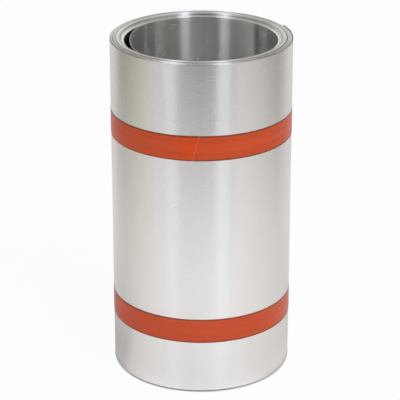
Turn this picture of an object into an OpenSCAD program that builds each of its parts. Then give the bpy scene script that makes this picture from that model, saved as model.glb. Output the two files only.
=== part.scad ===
// Aluminium flashing roll: one strip of thin sheet wound into a hollow coil that stands on its end,
// held closed by two bands of film tape. The origin is at the middle of the foot, +Z is up,
// and the front of the roll looks along -Y. Sizes are in millimetres.

/* [Sheet] */

// Width of the aluminium sheet, which sets the height of the roll (10 in flashing)
sheet_w = 254; // [100:1:610]
// Thickness of the aluminium sheet
sheet_t = 0.25; // [0.2:0.01:0.4]

/* [Winding] */

// Outside diameter of the coil over its last turn
roll_d = 133.8; // [125:0.1:180]
// Diameter of the bore inside the first tight turn
bore_d = 112.5; // [80:0.5:114]
// Turns that show on each end
turns = 40; // [20:1:60]
// Step at the free outer end of the sheet, which springs a little off the turn below
end_step = 0.6; // [0.3:0.05:1]
// Angle of the free outer end, counted from +X towards the back
end_angle = 25; // [0:1:60]

/* [Uneven ends] */

// Inner turns that stand lowest and carry the roll
foot_turns = 3; // [2:1:8]
// First of the turns that stand highest, counted from the bore
crown_turn = 12; // [10:1:18]
// Number of the turns that stand highest
crown_turns = 6; // [4:1:10]
// Rise of the highest turns over the inner turns
crown_rise = 2.2; // [2:0.1:4]
// Rise of the outermost turns over the inner turns
outer_rise = 1.9; // [0.5:0.1:2]
// Largest step of a single turn off its neighbours
unevenness = 0.3; // [0.1:0.1:0.5]
// Depth of the groove inside the loosened last turn, on both ends
groove_depth = 3; // [1:0.5:6]

/* [Sprung inner turn] */

// Widest gap between the sprung inner turn and the winding
spring_gap = 4.2; // [1:0.1:6]
// Half of the angle over which the inner turn has left the winding
spring_half_angle = 34; // [20:1:45]
// Angle of the gap's middle, counted from +X towards the back
spring_angle = 182; // [0:1:359]

/* [Tape bands] */

// Width of the film tape (3/4 in)
tape_w = 18.8; // [10:0.1:26]
// Thickness of the film tape
tape_t = 0.15; // [0.1:0.01:0.3]
// Height of the lower band's middle above the coil's outer bottom edge
lower_band_z = 48.6; // [20:0.1:100]
// Height of the upper band's middle above the coil's outer bottom edge
upper_band_z = 191.8; // [120:0.1:230]
// Angle over which the tape end laps over its start
lap_angle = 10; // [5:1:45]
// Lean of the tape's cut end
lap_lean = 15; // [0:1:30]

/* [Hidden] */

$fn = 96;
roll_r = roll_d / 2;
bore_r = bore_d / 2;
pitch = (roll_r - bore_r) / turns;
step_h = 0.1;
whole_h = sheet_w + crown_rise;

// The sprung inner turn is a flatter arc through two points of the bore and its own crown.
spring_half_chord = bore_r * sin(spring_half_angle);
spring_crown = bore_r - spring_gap;
spring_bulge = spring_crown - bore_r * cos(spring_half_angle);
spring_r = (pow(spring_half_chord, 2) + pow(spring_bulge, 2)) / (2 * spring_bulge);
spring_centre = spring_crown - spring_r;

// Smooth run from 0 to 1.
function ease(x) = (1 - cos(180 * x)) / 2;

// Whether a turn is one of those that stand highest.
function is_crown(i) = i >= crown_turn && i < crown_turn + crown_turns;

// Height that a turn has slid up: none at the foot, most at the crown, less at the outside.
function turn_slip(i) =
    i < foot_turns ? 0
    : i < crown_turn ? crown_rise * ease((i - foot_turns + 1) / (crown_turn - foot_turns + 1))
    : is_crown(i) ? crown_rise
    : outer_rise + (crown_rise - outer_rise) * ease((turns - 1 - i) / (turns - crown_turn - crown_turns));

// A single turn stands off its neighbours by a few tenths, apart from those of the foot and the crown.
function turn_offset(i) = i < foot_turns || is_crown(i) ? 0 : unevenness * sin(i * 133);

// Height of one turn's bottom edge, in whole steps between the foot and the crown.
function turn_rise(i) = max(0, min(crown_rise, step_h * round((turn_slip(i) + turn_offset(i)) / step_h)));

// Radius where a turn starts. The first one reaches inwards to take the sprung turn.
function turn_r(i) = i == 0 ? bore_r - 2 * spring_gap : bore_r + i * pitch;

// Half section of the winding with each turn's bottom and top edge.
module winding_section() {
    bottom = [for (i = [0 : turns - 1]) for (side = [0, 1]) [turn_r(i + side), turn_rise(i)]];
    top = [for (i = [turns - 1 : -1 : 0]) for (side = [1, 0]) [turn_r(i + side), turn_rise(i) + sheet_w]];
    polygon(concat(bottom, top));
}

// Narrow groove that parts the loosened last turn from the winding.
module last_turn_groove(z) {
    rotate_extrude()
        translate([roll_r - sheet_t - 1.5 * pitch, z])
            square([1.5 * pitch, groove_depth]);
}

// Outline of the coil's outside, grown by the tape that lies on it: a full round at the front
// and a slightly shifted round at the back, which meet in a step at the sheet's free end.
module outer_outline(grow = 0) {
    difference() {
        circle(r = roll_r + grow);
        rotate(end_angle)
            difference() {
                translate([-2 * roll_r, grow])
                    square([4 * roll_r, 2 * roll_r]);
                translate([-end_step / 2, 0])
                    circle(r = roll_r - end_step / 2 + grow);
            }
    }
}

// Open bore: the tight round cut by the sprung inner turn.
module bore_outline() {
    intersection() {
        circle(r = bore_r);
        rotate(spring_angle)
            translate([spring_centre, 0])
                circle(r = spring_r - sheet_t);
    }
}

// Gap behind the sprung inner turn.
module spring_gap_outline() {
    difference() {
        circle(r = bore_r + sheet_t);
        rotate(spring_angle)
            translate([spring_centre, 0])
                circle(r = spring_r);
    }
}

module flashing_coil() {
    color("silver")
        difference() {
            intersection() {
                rotate_extrude()
                    winding_section();
                linear_extrude(whole_h)
                    outer_outline();
            }
            translate([0, 0, -1])
                linear_extrude(whole_h + 2) {
                    bore_outline();
                    spring_gap_outline();
                }
            last_turn_groove(outer_rise - 1);
            last_turn_groove(outer_rise + sheet_w - groove_depth);
        }
}

// Second layer of tape where the end laps over the start, with a leaning cut at its end.
module tape_lap(end_turn) {
    difference() {
        linear_extrude(tape_w)
            intersection() {
                difference() {
                    outer_outline(grow = 2 * tape_t);
                    outer_outline(grow = tape_t / 2);
                }
                rotate(end_turn)
                    polygon([
                        [0, 0],
                        2 * roll_r * [cos(lap_angle), -sin(lap_angle)],
                        2 * roll_r * [cos(lap_angle), sin(lap_angle)]
                    ]);
            }
        rotate([0, 0, end_turn])
            translate([roll_r, 0, tape_w / 2])
                rotate([-lap_lean, 0, 0])
                    translate([-5, 0, -tape_w])
                        cube([10, roll_r, 2 * tape_w]);
    }
}

// One band of tape round the coil at height z, with its outer end at the angle end_turn.
module tape_band(z, end_turn) {
    color("orangered")
        translate([0, 0, outer_rise + z - tape_w / 2]) {
            linear_extrude(tape_w)
                difference() {
                    outer_outline(grow = tape_t);
                    outer_outline();
                }
            tape_lap(end_turn);
        }
}

module upper_tape_band() {
    tape_band(upper_band_z, -95);
}

module lower_tape_band() {
    tape_band(lower_band_z, 80);
}

flashing_coil();
upper_tape_band();
lower_tape_band();
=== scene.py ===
"""Looks of the aluminium flashing roll: the wound sheet, its tape bands, a white floor and soft light."""

import math

import bpy
import numpy as np
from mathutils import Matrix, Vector


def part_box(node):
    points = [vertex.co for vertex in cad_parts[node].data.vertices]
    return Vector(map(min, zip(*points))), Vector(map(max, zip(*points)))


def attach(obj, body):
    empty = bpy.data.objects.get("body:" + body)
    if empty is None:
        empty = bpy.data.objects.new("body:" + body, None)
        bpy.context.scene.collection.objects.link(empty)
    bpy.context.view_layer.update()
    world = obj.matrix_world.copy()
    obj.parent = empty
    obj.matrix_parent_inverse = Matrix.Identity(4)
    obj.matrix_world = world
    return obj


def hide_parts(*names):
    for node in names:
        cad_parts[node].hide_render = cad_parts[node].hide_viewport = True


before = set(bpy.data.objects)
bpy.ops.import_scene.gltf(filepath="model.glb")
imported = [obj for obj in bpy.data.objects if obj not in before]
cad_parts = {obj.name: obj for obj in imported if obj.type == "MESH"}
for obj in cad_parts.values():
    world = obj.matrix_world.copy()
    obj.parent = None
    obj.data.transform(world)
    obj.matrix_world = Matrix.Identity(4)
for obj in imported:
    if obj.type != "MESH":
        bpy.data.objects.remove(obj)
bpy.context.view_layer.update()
MM = 0.001

# ---------------------------------------------------------------- sizes, in millimetres

COIL_LOW, COIL_HIGH = [np.array(corner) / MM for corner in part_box("flashing_coil")]
COIL_H = COIL_HIGH[2] - COIL_LOW[2]
ROLL_R = -COIL_LOW[0]
BORE_R = 56.0
SHEET_W = 254.0
SHEET_T = 0.24
TURNS = 39.34
END_ANGLE = math.radians(25)
STEPS_PER_TURN = 132

# How far the turns have slid up over the ones at the bore, which carry the roll.
FOOT_TURN = 2.0
CROWN_TURN = 12.5
CROWN_RISE = COIL_H - SHEET_W
OUTER_RISE = 1.9
# First and last turn of a group that lies lower than its neighbours and of one that stands higher.
LOW_TURNS = (22.7, 25.3)
HIGH_TURNS = (29.5, 31.6)

# Sprung inner end of the sheet: its widest gap, where that is, and half of the angle that it takes.
SPRING_GAP = 4.3
SPRING_ANGLE = math.radians(182)
SPRING_HALF = math.radians(45)

# Free outer end of the sheet: how far it stands off and has slid up, and the part of a turn that it takes.
END_LIFT = 0.3
END_RISE = 1.0
END_TURN = 0.07

# Film tape: thickness, air under it, width of its soiled edges and lean of its cut end.
TAPE_T = 0.15
TAPE_AIR = 0.02
SOILED = 1.1
LEAN = math.radians(15)


def smooth(x):
    """0 below 0, 1 above 1, with a soft run between."""
    x = np.clip(x, 0.0, 1.0)
    return x * x * (3.0 - 2.0 * x)


def between(x, start, end, run):
    """1 from start to end and 0 outside them, with a soft run at each."""
    return smooth((x - start) / run) - smooth((x - end) / run)


def turn_angle(u):
    """Angle from +X after u turns of the winding, which starts at the inner end."""
    return END_ANGLE - 2 * math.pi * (TURNS - u)


# ---------------------------------------------------------------- the winding

# Places where the winding is slack: turn, gap, the angle where the gap is widest (in radians)
# and how fast it closes from there.
SLACK = [
    (10.5, 0.14, 1.4, 1),
    (25.0, 0.55, 0.5, 8),
    (31.0, 0.50, -2.6, 10),
    (TURNS - 0.82, 0.42, 0.4, 1.5),
]


def slack_at(angle, gap, widest, closing):
    """Width of a slack place at an angle: a tenth of its gap at least."""
    return gap * (0.1 + 0.9 * (0.5 + 0.5 * np.cos(angle - widest)) ** closing)


def winding_radius(u):
    """Radius of the sheet's middle after u turns."""
    angle = turn_angle(u)
    total = sum(slack_at(angle, *place) for _, *place in SLACK)
    pitch = (ROLL_R - BORE_R - SHEET_T - total) / TURNS
    radius = BORE_R + SHEET_T / 2 + pitch * u
    for turn, *place in SLACK:
        radius = radius + slack_at(angle, *place) * smooth((u - turn) / 0.25)
    return radius - spring_in(u, angle) + END_LIFT * free_end(u)


def free_end(u):
    """0 along the sheet and 1 at its free outer end."""
    return smooth((u - TURNS + END_TURN) / END_TURN)


def spring_in(u, angle):
    """How far the free inner turn has sprung off the winding. The turn outside it follows a little."""
    off = (angle - SPRING_ANGLE + math.pi) % (2 * math.pi) - math.pi
    bulge = (1 - np.clip(off / SPRING_HALF, -1, 1) ** 2) ** 1.5
    return SPRING_GAP * bulge * 0.03 ** np.floor(u)


def winding_rise(u):
    """Height of the sheet's lower edge: the inner turns carry the roll, and the others have slid up."""
    up = CROWN_RISE * smooth((u - FOOT_TURN) / (CROWN_TURN - FOOT_TURN))
    down = OUTER_RISE + (CROWN_RISE - OUTER_RISE) * smooth((TURNS - 2 - u) / (TURNS - 2 - CROWN_TURN))
    level = np.where(u < CROWN_TURN, up, down)
    groove = between(u, *LOW_TURNS, 0.4) * (0.5 - 0.4 * np.sin(turn_angle(u)))
    ridge = between(u, *HIGH_TURNS, 0.3)
    groups = 0.4 * ridge - groove
    wander = 0.14 * np.sin(2.39 * u) * np.sin(0.83 * u + 1.0)
    loose = smooth((u - FOOT_TURN) / 2)
    return np.clip(level + loose * (groups + wander + END_RISE * free_end(u)), 0.0, CROWN_RISE)


def sweep(name, centre, normal, bottom, section):
    """A closed strip: section holds (distance along the normal, height) points that follow the path."""
    n, k = len(centre), len(section)
    offset = section[:, 0][None, :, None] * normal[:, None, :]
    xy = centre[:, None, :] + offset
    z = bottom[:, None] + section[:, 1][None, :]
    verts = np.dstack([xy, z]).reshape(-1, 3) * MM
    i = np.arange(n - 1)[:, None] * k
    j = np.arange(k)[None, :]
    j2 = (j + 1) % k
    quads = np.stack([i + j, i + j2, i + k + j2, i + k + j], axis=-1).reshape(-1, 4)
    mesh = bpy.data.meshes.new(name)
    caps = [list(range(k))[::-1], [(n - 1) * k + c for c in range(k)]]
    mesh.from_pydata(verts.tolist(), [], quads.tolist() + caps)
    mesh.validate()
    return mesh


def add_object(name, mesh, materials):
    """A new object in the scene with its materials in order."""
    for material in materials:
        mesh.materials.append(material)
    obj = bpy.data.objects.new(name, mesh)
    bpy.context.scene.collection.objects.link(obj)
    return obj


def path_normals(centre):
    """Normals of a flat path, on the side that looks outwards."""
    tangent = np.gradient(centre, axis=0)
    tangent /= np.linalg.norm(tangent, axis=1)[:, None]
    return np.stack([tangent[:, 1], -tangent[:, 0]], axis=1)


# Places, in the section's ring of faces, of the long faces that look outwards and inwards.
OUTWARD, INWARD = 0, 7
# Places of the coil's materials.
OPEN, EDGE, COVERED = 0, 1, 2


def strip_section():
    """The sheet's section with round slit edges. Points near the edges keep the faces between them flat."""
    half, support = SHEET_T / 2, 0.5
    round_off = half * 0.71
    corners = [(half, 0.0), (round_off, round_off), (0.0, half), (-round_off, round_off), (-half, 0.0)]
    top = [(x, SHEET_W - half + z) for x, z in corners]
    foot = [(-x, half - z) for x, z in corners]
    right = [(half, support), (half, SHEET_W - support)]
    left = [(-half, SHEET_W - support), (-half, support)]
    return np.array(right + top + left + foot)


def build_coil(materials):
    """The wound sheet. Only its first turn's inside and its last turn's outside are open faces."""
    u = np.linspace(0, TURNS, int(TURNS * STEPS_PER_TURN))
    angle, radius = turn_angle(u), winding_radius(u)
    centre = np.stack([radius * np.cos(angle), radius * np.sin(angle)], axis=1)
    mesh = sweep("wound_sheet", centre, path_normals(centre), winding_rise(u), strip_section())
    ring = [OPEN] * 2 + [EDGE] * 4 + [OPEN] * 3 + [EDGE] * 4 + [OPEN]
    slots = np.tile(ring, (len(u) - 1, 1))
    # Faces that the next turn covers take the painted gap shade, which shows only in the gap behind the
    # sprung inner turn.
    slots[u[:-1] < TURNS - 1.02, OUTWARD] = COVERED
    slots[u[:-1] > 1.0, INWARD] = COVERED
    mesh.polygons.foreach_set("material_index", np.append(slots.ravel(), [EDGE, EDGE]).astype(np.int32))
    mesh.shade_smooth()
    mesh.set_sharp_from_angle(angle=math.radians(60))
    coil = add_object("wound_sheet", mesh, materials)
    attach(coil, "root")
    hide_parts("flashing_coil")
    return coil


# ---------------------------------------------------------------- the tape bands

# Places of the tape's materials.
FILM, DOUBLED, SOILED_EDGE, CUT_END = 0, 1, 2, 3
# Angle over which the tape climbs onto its own start, and over which its cut end leans.
CLIMB = math.radians(1.5)
LEAN_RUN = math.radians(12)


def outside_radius(angle):
    """Radius of the coil's outside at an angle, with a soft ramp over the sheet's free end."""
    past_end = (angle - END_ANGLE) % (2 * math.pi)
    u = TURNS - 1 + past_end / (2 * math.pi)
    ramp = 1 - smooth(past_end / math.radians(2.5))
    return winding_radius(u) * (1 - ramp) + winding_radius(np.full_like(u, TURNS)) * ramp + SHEET_T / 2


def build_tape(name, node, lap_end, lap, materials):
    """A band of tape whose outer end laps over its start."""
    low, high = [np.array(corner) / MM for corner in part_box(node)]
    width = high[2] - low[2]
    start, end = lap_end - 2 * math.pi - lap, lap_end
    angle = np.linspace(start, end, 420)
    over = smooth((angle - (end - lap - CLIMB)) / CLIMB)
    base = outside_radius(angle) + TAPE_T / 2 + TAPE_AIR + over * TAPE_T
    rows = np.concatenate([[0], np.linspace(SOILED, width - SOILED, 8), [width]])
    leans_at_end = smooth((angle - end + LEAN_RUN) / LEAN_RUN)
    leans_at_start = smooth((start + LEAN_RUN - angle) / LEAN_RUN)
    leaning = np.maximum(leans_at_end, leans_at_start)
    verts, n, k = [], len(angle), 2 * len(rows)
    for side, order in ((1, rows), (-1, rows[::-1])):
        for h in order:
            a = angle + leaning * math.tan(LEAN) * (h - width / 2) / ROLL_R
            on_edge = min(h, width - h) == 0
            lift = TAPE_AIR * np.sin(7 * angle + 1.3) * np.sin(0.5 * h) * (not on_edge)
            r = base + side * (TAPE_T / 2 - 0.02 * on_edge) + lift
            verts.append(np.stack([r * np.cos(a), r * np.sin(a), np.full_like(r, low[2] + h)], axis=1))
    verts = np.stack(verts, axis=1).reshape(-1, 3) * MM
    i = np.arange(n - 1)[:, None] * k
    j = np.arange(k)[None, :]
    j2 = (j + 1) % k
    quads = np.stack([i + j, i + k + j, i + k + j2, i + j2], axis=-1).reshape(-1, 4)
    mesh = bpy.data.meshes.new(name)
    caps = [list(range(k)), [(n - 1) * k + c for c in range(k)][::-1]]
    mesh.from_pydata(verts.tolist(), [], quads.tolist() + caps)
    film = np.where(angle[:-1] > end - lap, DOUBLED, FILM)
    on_soiled_edge = np.isin(np.arange(k), [0, k // 2 - 2, k // 2 - 1, k // 2, k - 2, k - 1])
    slots = np.where(on_soiled_edge[None, :], SOILED_EDGE, film[:, None])
    slots[-1] = CUT_END
    slots = np.append(slots.ravel(), [SOILED_EDGE, SOILED_EDGE])
    mesh.polygons.foreach_set("material_index", slots.astype(np.int32))
    mesh.shade_smooth()
    mesh.set_sharp_from_angle(angle=math.radians(40))
    tape = add_object(name, mesh, materials)
    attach(tape, "root")
    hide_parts(node)
    return tape


# ---------------------------------------------------------------- materials


class Nodes:
    """Short names for adding and joining shader nodes."""

    def __init__(self, tree):
        self.tree = tree
        tree.nodes.clear()

    def add(self, kind, values=None, **settings):
        node = self.tree.nodes.new(kind)
        for key, value in settings.items():
            setattr(node, key, value)
        for key, value in (values or {}).items():
            node.inputs[key].default_value = value
        return node

    def join(self, source, output, target, socket):
        self.tree.links.new(source.outputs[output], target.inputs[socket])


def new_material(name):
    """A material with an empty tree, the tree's nodes and its output."""
    material = bpy.data.materials.new(name)
    material.use_nodes = True
    nodes = Nodes(material.node_tree)
    return material, nodes, nodes.add("ShaderNodeOutputMaterial")


def stretched_noise(nodes, scale, detail=4.0):
    """Noise in the object's own metres, stretched by a scale for each axis."""
    coords = nodes.add("ShaderNodeTexCoord")
    mapping = nodes.add("ShaderNodeMapping", {"Scale": scale})
    noise = nodes.add("ShaderNodeTexNoise", {"Scale": 1.0, "Detail": detail, "Roughness": 0.6})
    nodes.join(coords, "Object", mapping, "Vector")
    nodes.join(mapping, "Vector", noise, "Vector")
    return noise


def axis_distance(nodes):
    """Distance from the Z axis in metres."""
    coords = nodes.add("ShaderNodeTexCoord")
    flat = nodes.add("ShaderNodeMapping", {"Scale": (1, 1, 0)})
    distance = nodes.add("ShaderNodeVectorMath", operation="LENGTH")
    nodes.join(coords, "Object", flat, "Vector")
    nodes.join(flat, "Vector", distance, 0)
    return distance


def ring_noise(nodes, across, around):
    """Noise that makes rings round the Z axis: fine across them and slow around them."""
    coords = nodes.add("ShaderNodeTexCoord")
    radius = axis_distance(nodes)
    fine = nodes.add("ShaderNodeMath", {1: across}, operation="MULTIPLY")
    height = nodes.add("ShaderNodeCombineXYZ")
    slow = nodes.add("ShaderNodeMapping", {"Scale": (around, around, 0)})
    both = nodes.add("ShaderNodeVectorMath", operation="ADD")
    noise = nodes.add("ShaderNodeTexNoise", {"Scale": 1.0, "Detail": 3.0, "Roughness": 0.65})
    nodes.join(radius, "Value", fine, 0)
    nodes.join(fine, "Value", height, "Z")
    nodes.join(coords, "Object", slow, "Vector")
    nodes.join(slow, "Vector", both, 0)
    nodes.join(height, "Vector", both, 1)
    nodes.join(both, "Vector", noise, "Vector")
    return noise


def fit_range(nodes, source, output, low, high, start=0.3, end=0.7):
    """The source's output from start to end, run onto low to high."""
    node = nodes.add("ShaderNodeMapRange", {
        "From Min": start, "From Max": end, "To Min": low, "To Max": high,
    })
    nodes.join(source, output, node, "Value")
    return node


def tone(nodes, source, dark, light, start=0.3, end=0.7):
    """A colour that runs from dark to light with the source's factor."""
    node = nodes.add("ShaderNodeValToRGB")
    for element, place, colour in zip(node.color_ramp.elements, (start, end), (dark, light)):
        element.position = place
        element.color = (*colour, 1)
    nodes.join(source, "Fac", node, "Fac")
    return node


def ring_tones(nodes, tones):
    """Grey that goes by the distance from the axis: tones holds (distance in millimetres, grey)."""
    distance = axis_distance(nodes)
    inner, outer = tones[0][0], tones[-1][0]
    place = fit_range(nodes, distance, "Value", 0.0, 1.0, inner * MM, outer * MM)
    ramp = nodes.add("ShaderNodeValToRGB")
    elements = ramp.color_ramp.elements
    while len(elements) < len(tones):
        elements.new(0.5)
    for element, (radius, grey) in zip(elements, tones):
        element.position = (radius - inner) / (outer - inner)
        element.color = (grey, grey * 0.99, grey * 0.99, 1)
    nodes.join(place, "Result", ramp, "Fac")
    return ramp


def bump(nodes, source, strength, depth):
    """Relief with a depth in millimetres."""
    node = nodes.add("ShaderNodeBump", {"Strength": strength, "Distance": depth * MM})
    nodes.join(source, "Fac", node, "Height")
    return node


def sheet_material():
    """Mill-finish aluminium: fine rolling grain that runs round the coil."""
    material, nodes, out = new_material("mill_finish_sheet")
    shader = nodes.add("ShaderNodeBsdfPrincipled", {
        "Metallic": 1.0, "Anisotropic": 1.0, "Anisotropic Rotation": 0.25,
    })
    tangent = nodes.add("ShaderNodeTangent", direction_type="RADIAL", axis="Z")
    grain = stretched_noise(nodes, (260, 260, 800))
    cloud = stretched_noise(nodes, (25, 25, 9), 2.0)
    rough = fit_range(nodes, grain, "Fac", 0.255, 0.275)
    clean = tone(nodes, cloud, (0.885, 0.890, 0.874), (0.915, 0.920, 0.904))
    specks = fit_range(nodes, grain, "Fac", 0.975, 1.0)
    colour = nodes.add("ShaderNodeMixRGB", {"Fac": 1.0}, blend_type="MULTIPLY")
    relief = bump(nodes, grain, 1.0, 0.035)
    nodes.join(clean, "Color", colour, "Color1")
    nodes.join(specks, "Result", colour, "Color2")
    nodes.join(tangent, "Tangent", shader, "Tangent")
    nodes.join(rough, "Result", shader, "Roughness")
    nodes.join(colour, "Color", shader, "Base Color")
    nodes.join(relief, "Normal", shader, "Normal")
    nodes.join(shader, "BSDF", out, "Surface")
    return material


def gap_shade_material():
    """The sheet's faces between the turns, seen only in the gap behind the sprung inner turn: painted shade,
    dark where no light gets in.
    """
    material, nodes, out = new_material("painted_gap_shade")
    shader = nodes.add("ShaderNodeBsdfPrincipled", {"Metallic": 0.6, "Roughness": 0.6})
    # Near-black base colour: painted shade in the gap.
    film = tone(nodes, stretched_noise(nodes, (60, 60, 20), 2.0), (0.03, 0.03, 0.028), (0.06, 0.06, 0.055))
    nodes.join(film, "Color", shader, "Base Color")
    nodes.join(shader, "BSDF", out, "Surface")
    return material


# Grey of the slit edges by distance from the axis: bright at the bore, with painted shade in the grooves and
# slack gaps, and darker at the outside. The front carries a painted highlight apart from one groove of
# painted shade, and the back is darker at its outside.
RIM_TONES = [
    (56.0, 0.98), (57.6, 0.98), (58.4, 0.72), (59.2, 0.50), (60.4, 0.88), (61.6, 0.84), (62.5, 0.56),
    (63.4, 0.68), (64.6, 0.76), (65.8, 0.68), (66.4, 0.35), (67.0, 0.30),
]
FRONT_TONES = [
    (56.0, 0.98), (59.6, 0.98), (60.6, 0.90), (61.8, 0.98), (62.2, 0.22), (63.2, 0.15), (63.7, 0.95),
    (64.8, 0.85), (65.8, 0.98), (67.0, 0.98),
]
BACK_TONES = [
    (56.0, 0.98), (58.2, 0.98), (59.0, 0.95), (60.0, 0.98), (61.8, 0.98), (62.8, 0.76), (63.6, 0.63),
    (64.8, 0.55), (65.8, 0.58), (66.4, 0.35), (67.0, 0.28),
]


def edge_material():
    """The slit edge of the sheet: each turn is cut and worn a little differently, with painted shade in the
    grooves and a painted highlight at the front.
    """
    material, nodes, out = new_material("slit_edge")
    shader = nodes.add("ShaderNodeBsdfPrincipled", {"Metallic": 1.0})
    rings = ring_noise(nodes, 1500, 7)
    rough = fit_range(nodes, rings, "Fac", 0.22, 0.45)
    cuts = fit_range(nodes, rings, "Fac", 0.62, 1.0, 0.36, 0.56)
    coords = nodes.add("ShaderNodeTexCoord")
    depth = nodes.add("ShaderNodeSeparateXYZ")
    nodes.join(coords, "Object", depth, "Vector")
    # The ring tones paint shade into the rim's grooves and gaps. The front's tones add a painted highlight.
    rim_tone_and_shade = ring_tones(nodes, RIM_TONES)
    for tones, start, end in ((FRONT_TONES, -0.050, -0.061), (BACK_TONES, 0.035, 0.055)):
        share = fit_range(nodes, depth, "Y", 0.0, 1.0, start, end)
        mix = nodes.add("ShaderNodeMixRGB")
        nodes.join(share, "Result", mix, "Fac")
        nodes.join(rim_tone_and_shade, "Color", mix, "Color1")
        nodes.join(ring_tones(nodes, tones), "Color", mix, "Color2")
        rim_tone_and_shade = mix
    colour = nodes.add("ShaderNodeMixRGB", {"Fac": 1.0}, blend_type="MULTIPLY")
    nodes.join(rim_tone_and_shade, "Color", colour, "Color1")
    nodes.join(cuts, "Result", colour, "Color2")
    nodes.join(rough, "Result", shader, "Roughness")
    nodes.join(colour, "Color", shader, "Base Color")
    nodes.join(shader, "BSDF", out, "Surface")
    return material


def tape_material(name, dark, light, ior=1.42):
    """Film tape, smooth, with faint lines along it where it was stretched."""
    material, nodes, out = new_material(name)
    film = nodes.add("ShaderNodeBsdfPrincipled", {"Roughness": 0.28, "IOR": ior})
    lines = stretched_noise(nodes, (10, 10, 420), 3.0)
    colour = tone(nodes, lines, dark, light)
    relief = bump(nodes, lines, 0.2, 0.04)
    nodes.join(colour, "Color", film, "Base Color")
    nodes.join(relief, "Normal", film, "Normal")
    nodes.join(film, "BSDF", out, "Surface")
    return material


def tape_materials():
    """Single film, doubled film, soiled edge and cut end."""
    return [
        tape_material("film_tape", (0.48, 0.050, 0.004), (0.60, 0.064, 0.007)),
        tape_material("doubled_tape", (0.53, 0.048, 0.001), (0.64, 0.066, 0.002), 1.34),
        tape_material("soiled_edge", (0.20, 0.036, 0.010), (0.30, 0.048, 0.013)),
        tape_material("lifted_end", (0.57, 0.068, 0.008), (0.69, 0.090, 0.015)),
    ]


# ---------------------------------------------------------------- studio


def build_floor():
    """White floor, which camera and reflections see as white, apart from its shade round and in the roll."""
    size = 6.0
    mesh = bpy.data.meshes.new("floor")
    corners = [(-size, -size, 0), (size, -size, 0), (size, size, 0), (-size, size, 0)]
    mesh.from_pydata(corners, [], [(0, 1, 2, 3)])
    material, nodes, out = new_material("white_floor")
    paint = nodes.add("ShaderNodeBsdfDiffuse", {"Color": (0.86, 0.86, 0.86, 1)})
    white = nodes.add("ShaderNodeEmission", {"Color": (1, 1, 1, 1), "Strength": 1.0})
    path = nodes.add("ShaderNodeLightPath")
    seen = nodes.add("ShaderNodeMath", operation="MAXIMUM")
    any_seen = nodes.add("ShaderNodeMath", operation="MAXIMUM")
    open_air = nodes.add("ShaderNodeAmbientOcclusion", {"Distance": 0.25})
    lit = fit_range(nodes, open_air, "AO", 0.0, 0.95, 0.12, 0.46)
    share = nodes.add("ShaderNodeMath", operation="MULTIPLY")
    mix = nodes.add("ShaderNodeMixShader")
    nodes.join(path, "Is Camera Ray", seen, 0)
    nodes.join(path, "Is Glossy Ray", seen, 1)
    nodes.join(seen, "Value", any_seen, 0)
    nodes.join(path, "Is Transmission Ray", any_seen, 1)
    nodes.join(any_seen, "Value", share, 0)
    nodes.join(lit, "Result", share, 1)
    nodes.join(share, "Value", mix, 0)
    nodes.join(paint, "BSDF", mix, 1)
    nodes.join(white, "Emission", mix, 2)
    nodes.join(mix, "Shader", out, "Surface")
    floor = add_object("floor", mesh, [material])


# The studio's lower wall: angle from the front in degrees, negative to the left, then its brightness
# and its shares of green and blue.
LOW_WALL = [
    (-180, 0.72, 0.95, 0.93), (-130, 0.66, 0.95, 0.93), (-121, 0.46, 0.95, 0.91), (-113, 0.36, 0.94, 0.86),
    (-104, 0.34, 0.93, 0.71), (-84, 0.42, 0.93, 0.70), (-66, 0.53, 0.94, 0.84), (-52, 0.55, 0.96, 0.96),
    (-47, 0.46, 0.97, 1.00), (-30, 0.18, 0.99, 1.00), (0, 0.04, 0.99, 1.00), (16, 0.11, 0.99, 1.00),
    (35, 0.38, 0.97, 0.98), (48, 0.57, 0.95, 0.93), (66, 0.50, 0.95, 0.90), (90, 0.38, 0.95, 0.88),
    (104, 0.36, 0.95, 0.89), (112, 0.44, 0.95, 0.94), (122, 0.58, 0.95, 0.94), (130, 0.70, 0.95, 0.94),
    (180, 0.72, 0.95, 0.93),
]
# Its upper wall, in the same way.
HIGH_WALL = [
    (-180, 1.40, 0.99, 0.97), (-155, 0.95, 0.99, 0.97), (-135, 0.43, 0.99, 0.90), (-104, 0.27, 0.99, 0.86),
    (-90, 0.25, 0.99, 0.86), (-66, 0.33, 0.99, 0.89), (-50, 0.40, 1.0, 0.97), (-30, 0.27, 1.0, 0.98),
    (0, 0.11, 0.99, 0.95), (16, 0.17, 1.0, 0.98), (35, 0.44, 0.99, 0.95), (48, 0.43, 0.99, 0.88),
    (66, 0.36, 0.98, 0.86), (104, 0.28, 0.98, 0.88), (135, 0.45, 0.99, 0.91), (155, 0.95, 0.99, 0.97),
    (180, 1.40, 0.99, 0.97),
]
# Its floor, in the same way.
FLOOR = [
    (-180, 0.68, 0.95, 0.94), (-140, 0.62, 0.95, 0.94), (-126, 0.61, 0.95, 0.94), (-114, 0.62, 0.95, 0.94),
    (-100, 0.65, 0.95, 0.93), (-81, 0.74, 0.95, 0.94), (-63, 0.79, 0.955, 0.95), (-35, 0.91, 0.97, 0.98),
    (0, 1.00, 0.97, 0.98), (25, 0.98, 0.98, 1.00), (56, 0.86, 0.95, 0.94), (90, 0.77, 0.95, 0.93),
    (114, 0.68, 0.95, 0.94), (128, 0.65, 0.95, 0.94), (140, 0.64, 0.95, 0.94), (180, 0.68, 0.95, 0.94),
]
# Soft boxes: from and to angle, then bottom and top in metres, and brightness.
SOFT_BOXES = [(-46.5, -30.5, 0.40, 1.2, 3.8), (19, 35, 0.40, 1.2, 3.8)]
# Radius and height of the studio in metres, where its lower wall ends and its upper one starts,
# and the brightness of its ceiling.
STUDIO_R = 0.56
STUDIO_H = 1.3
WALL_CHANGE = (0.30, 0.40)
CEILING = 0.15


def light_colour(level, green=1.0, blue=1.0):
    """A light's colour from its brightness and its shares of green and blue."""
    return np.stack([level, level * green, level * blue, np.ones_like(level)], axis=-1)


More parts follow.
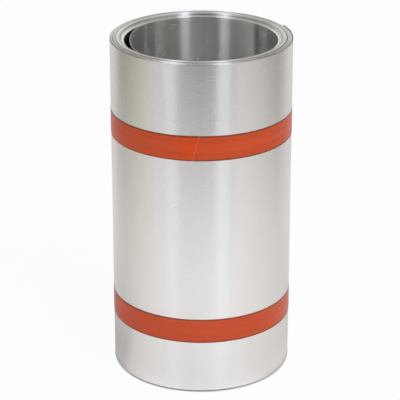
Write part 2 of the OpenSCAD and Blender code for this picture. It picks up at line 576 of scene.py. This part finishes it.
def build_reflected(name, angles, rails):
    """A strip round the roll that only reflections see. Each rail is a radius, a height and its colours."""
    turn = np.radians(angles)
    n = len(turn)
    verts = [np.stack([r * np.sin(turn), -r * np.cos(turn), np.full(n, z)], axis=1) for r, z, _ in rails]
    faces = [(r * n + i, r * n + i + 1, (r + 1) * n + i + 1, (r + 1) * n + i)
             for r in range(len(rails) - 1) for i in range(n - 1)]
    mesh = bpy.data.meshes.new(name)
    mesh.from_pydata(np.concatenate(verts).tolist(), [], faces)
    attribute = mesh.color_attributes.new("light", "FLOAT_COLOR", "POINT")
    attribute.data.foreach_set("color", np.concatenate([colours for _, _, colours in rails]).ravel())
    material, nodes, out = new_material(name)
    shade = nodes.add("ShaderNodeVertexColor", layer_name="light")
    glow = nodes.add("ShaderNodeEmission", {"Strength": 1.0})
    nodes.join(shade, "Color", glow, "Color")
    nodes.join(glow, "Emission", out, "Surface")
    strip = add_object(name, mesh, [material])
    strip.visible_camera = False
    strip.visible_diffuse = False
    strip.visible_shadow = False
    strip.visible_transmission = False


def around(angles, table):
    """The table's colour at each angle."""
    places, *columns = zip(*table)
    return light_colour(*[np.interp(angles, places, column) for column in columns])


def floor_rails(angles, light):
    """The studio's floor from the roll's foot outwards: darker beside the foot and, ahead, far from it."""
    beside = 1 - 0.8 * smooth((np.abs(angles) - 35) / 25)
    near_left, far_left = [1 - 0.27 * (smooth((-angles - start) / 12) * smooth((angles + 170) / 50))
                           for start in (59, 70)]
    even = np.ones_like(angles)
    ahead = smooth(1 - np.abs(angles + 5) / 45)
    rails = [
        (0.0675, 1.05, beside), (0.071, 1.03, near_left), (0.09, 0.95, far_left), (0.20, 1.12, even),
        (0.42, 1.36, 1 + 0.24 * ahead), (STUDIO_R, 0.8, 1 - 0.8 * ahead),
    ]
    return [(radius, 0.0005, level * light * shade[:, None]) for radius, level, shade in rails]


def build_studio():
    """What the metal sees round it: floor, walls, ceiling and two soft boxes."""
    angles = np.linspace(-180, 180, 361)
    low, high, floor = [around(angles, table) for table in (LOW_WALL, HIGH_WALL, FLOOR)]
    ceiling = light_colour(np.full(len(angles), CEILING))
    low_top, high_bottom = WALL_CHANGE
    build_reflected("studio_wall", angles, [
        (STUDIO_R, 0.002, low), (STUDIO_R, low_top, low),
        (STUDIO_R, high_bottom, high), (STUDIO_R, STUDIO_H, high),
    ])
    build_reflected("studio_ceiling", angles, [(STUDIO_R, STUDIO_H, ceiling), (0.01, STUDIO_H, ceiling)])
    build_reflected("studio_floor", angles, floor_rails(angles, floor))
    for i, (start, end, bottom, top, level) in enumerate(SOFT_BOXES):
        span = np.linspace(start, end, 12)
        light = light_colour(np.full(len(span), level), 0.985, 1.09)
        radius = STUDIO_R - 0.02
        build_reflected(f"soft_box_{i + 1}", span, [(radius, bottom, light), (radius, top, light)])


def add_lamp(name, place, power):
    """A round soft lamp that looks at the roll's middle and isn't seen in reflections."""
    lamp = bpy.data.lights.new(name, "AREA")
    lamp.shape = "DISK"
    lamp.size = 1.6
    lamp.energy = power
    obj = bpy.data.objects.new(name, lamp)
    bpy.context.scene.collection.objects.link(obj)
    obj.location = place
    direction = Vector((0, 0, COIL_H / 2 * MM)) - Vector(place)
    obj.rotation_euler = direction.to_track_quat("-Z", "Y").to_euler()
    obj.visible_glossy = False


def build_light():
    """The world's even light and two lamps."""
    world = bpy.data.worlds.new("studio")
    bpy.context.scene.world = world
    world.use_nodes = True
    nodes = Nodes(world.node_tree)
    out = nodes.add("ShaderNodeOutputWorld")
    sky = nodes.add("ShaderNodeBackground", {"Color": (1, 1, 1, 1), "Strength": 0.62})
    nodes.join(sky, "Background", out, "Surface")
    add_lamp("key", (1.3, -1.6, 1.9), 29)
    add_lamp("fill", (-1.5, -1.2, 1.5), 5)


# Camera, fitted to the photo: its tilt, and its distance and height in radii of the roll.
CAMERA_TILT = 0.3861
CAMERA_AWAY = 19.874
CAMERA_UP = 9.9586


def build_camera():
    """The photo's view of the roll."""
    camera = bpy.data.cameras.new("camera")
    camera.lens = 171.69
    camera.sensor_width = 36.0
    camera.shift_x = -0.0032
    camera.clip_end = 50
    obj = bpy.data.objects.new("camera", camera)
    bpy.context.scene.collection.objects.link(obj)
    obj.location = (0.0, -CAMERA_AWAY * ROLL_R * MM, (CAMERA_UP * ROLL_R + OUTER_RISE) * MM)
    obj.rotation_euler = (math.pi / 2 - CAMERA_TILT, 0, 0)
    bpy.context.scene.camera = obj


bpy.context.scene.view_settings.view_transform = "Standard"
build_camera()
build_floor()
build_studio()
build_light()
build_coil([sheet_material(), edge_material(), gap_shade_material()])
tape = tape_materials()
build_tape("upper_tape", "upper_tape_band", math.radians(-93), math.radians(11), tape)
build_tape("lower_tape", "lower_tape_band", math.radians(80), math.radians(10), tape)
